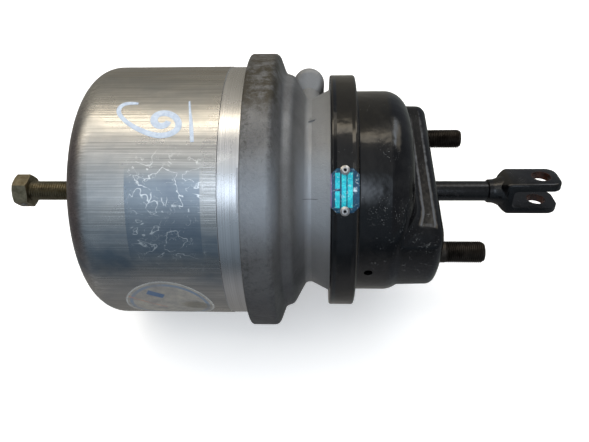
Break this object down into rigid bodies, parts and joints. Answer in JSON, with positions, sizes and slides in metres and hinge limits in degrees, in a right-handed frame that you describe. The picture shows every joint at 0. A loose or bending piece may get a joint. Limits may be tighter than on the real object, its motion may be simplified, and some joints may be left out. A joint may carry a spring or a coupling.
{
  "type": "air brake chamber",
  "caption": "Spring brake chamber: aluminium spring cylinder, cast centre body, clamp ring, steel bowl with studs, push rod with yoke, and a release bolt",
  "frame": {"origin": "middle of the mounting pad's face, on the push rod's axis, half way between the two studs", "axes": "+X along the push rod, out of the chamber towards the yoke; Y through both mounting studs; +Z square to both"},
  "size_m": [0.444, 0.2178, 0.2166],
  "materials": {
    "spun_aluminium": "drawn aluminium with fine lines along the axis, dulled and scuffed, with a bright turned band by the flange",
    "cast_aluminium": "rough cast aluminium, matt grey with fine pits and stains",
    "black_paint": "gloss black paint on pressed steel, with dust and fine scratches",
    "rod_paint": "semi-gloss black paint on steel",
    "stud_steel": "dark phosphated steel thread",
    "passivated_steel": "olive passivated steel",
    "plain_steel": "plain steel",
    "spring_steel": "black coated spring steel",
    "rubber": "matt black rubber",
    "nylon": "natural nylon",
    "blue_foil": "dark blue printed foil with plain cyan fields and no text",
    "rivet_aluminium": "bright aluminium rivets"
  },
  "bodies": {
    "chamber": {"spring_cylinder": "spun_aluminium", "lock_ring": "plain_steel", "cylinder_seal": "rubber", "center_body": "cast_aluminium", "clamp_band": "black_paint", "clamp_bolt": "passivated_steel", "clamp_nut": "passivated_steel", "service_housing": "black_paint", "mounting_studs": "stud_steel", "rod_dust_seal": "rubber", "power_spring": "spring_steel", "spring_piston": "cast_aluminium", "piston_seal": "rubber", "piston_guide_ring": "nylon", "push_tube": "plain_steel", "tube_seal": "rubber", "tube_guide_bush": "nylon", "thrust_pad": "nylon", "bolt_insert": "passivated_steel", "nameplate": "blue_foil", "nameplate_rivets": "rivet_aluminium"},
    "diaphragm_stroke": {"diaphragm": "rubber", "return_spring": "spring_steel"},
    "push_rod": {"push_plate": "plain_steel", "push_rod": "rod_paint", "yoke": "rod_paint"},
    "bolt_travel": {"bolt_collar": "plain_steel"},
    "release_bolt": {"release_bolt": "passivated_steel", "release_hex": "passivated_steel", "hex_pin": "plain_steel"}
  },
  "joints": [
    {"name": "push_stroke", "type": "slide", "parent": "chamber", "child": "diaphragm_stroke", "axis": [1, 0, 0], "range_m": [0, 0.057], "stiffness_N_per_m": 1500, "springref_m": -0.08, "deforming": ["return_spring", "diaphragm"]},
    {"name": "rod_turn", "type": "hinge", "parent": "diaphragm_stroke", "child": "push_rod", "pos_m": [0, 0, 0], "axis": [1, 0, 0], "continuous": true},
    {"name": "release_travel", "type": "slide", "parent": "chamber", "child": "bolt_travel", "axis": [1, 0, 0], "range_m": [0, 0.057]},
    {"name": "release_turn", "type": "hinge", "parent": "bolt_travel", "child": "release_bolt", "pos_m": [-0.3345, 0, 0], "axis": [1, 0, 0], "range_deg": [0, 10261]}
  ],
  "couplings": [
    {"joint": "release_turn", "follows": "release_travel", "rad_per_m": 3141.6}
  ]
}
